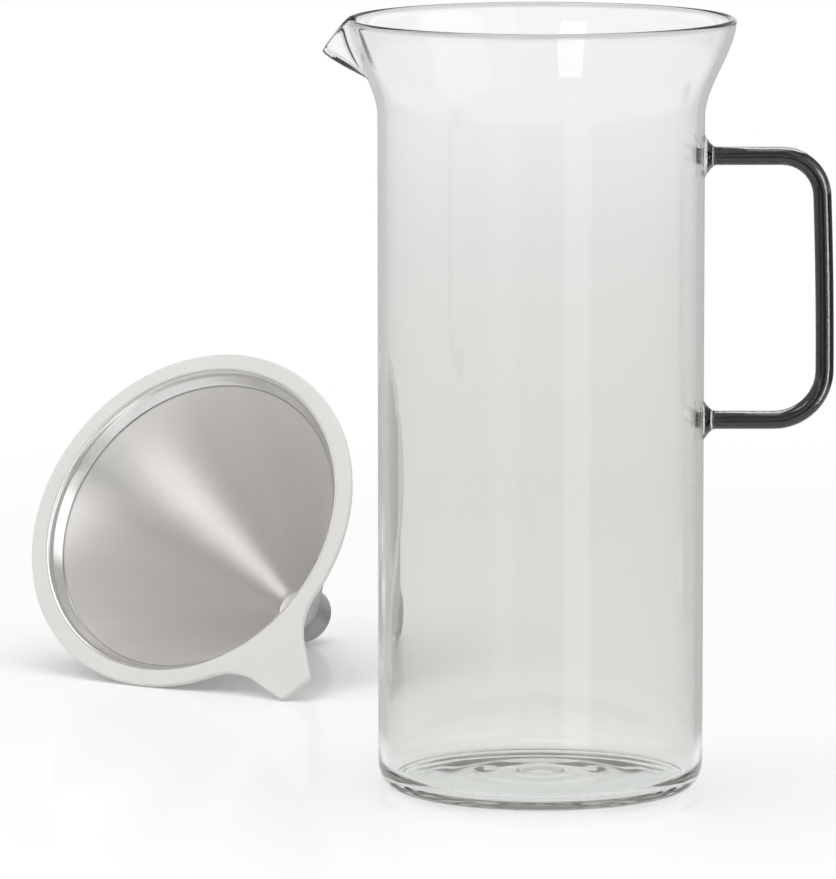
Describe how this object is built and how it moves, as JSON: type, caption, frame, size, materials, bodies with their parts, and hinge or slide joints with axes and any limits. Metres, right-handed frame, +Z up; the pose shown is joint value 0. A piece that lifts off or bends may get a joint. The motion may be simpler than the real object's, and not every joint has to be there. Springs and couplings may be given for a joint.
{
  "type": "pour-over coffee maker",
  "caption": "Tall glass carafe with a flared spouted mouth and a smoked glass rod handle, beside its loose steel mesh cone filter with a white collar.",
  "frame": {"origin": "centre of the carafe's foot ring, on the table it stands on", "axes": "+Z up along the carafe's axis, +X from the axis to the handle, -X to the spout, +Y to the side where the loose filter lies"},
  "size_m": [0.258, 0.3271, 0.2371],
  "materials": {
    "clear_glass": "clear, faintly smoky, fire-polished",
    "smoked_glass": "dark smoked, fire-polished",
    "white_plastic": "satin white",
    "polished_steel": "polished stainless steel",
    "steel_mesh": "satin, finely perforated",
    "perforated_steel": "satin, perforated"
  },
  "bodies": {
    "carafe": {"carafe_body": "clear_glass", "handle_rod": "smoked_glass", "upper_weld": "clear_glass", "lower_weld": "clear_glass"},
    "filter": {"collar": "white_plastic", "rim_hoop": "polished_steel", "mesh_cone": "steel_mesh", "support_cone": "perforated_steel", "tip_cup": "steel_mesh", "tip_cap": "polished_steel"}
  },
  "joints": [
    {"name": "filter_lift", "type": "slide", "parent": "carafe", "child": "filter", "axis": [0, 0, 1], "range_m": [0, 0.26]}
  ]
}
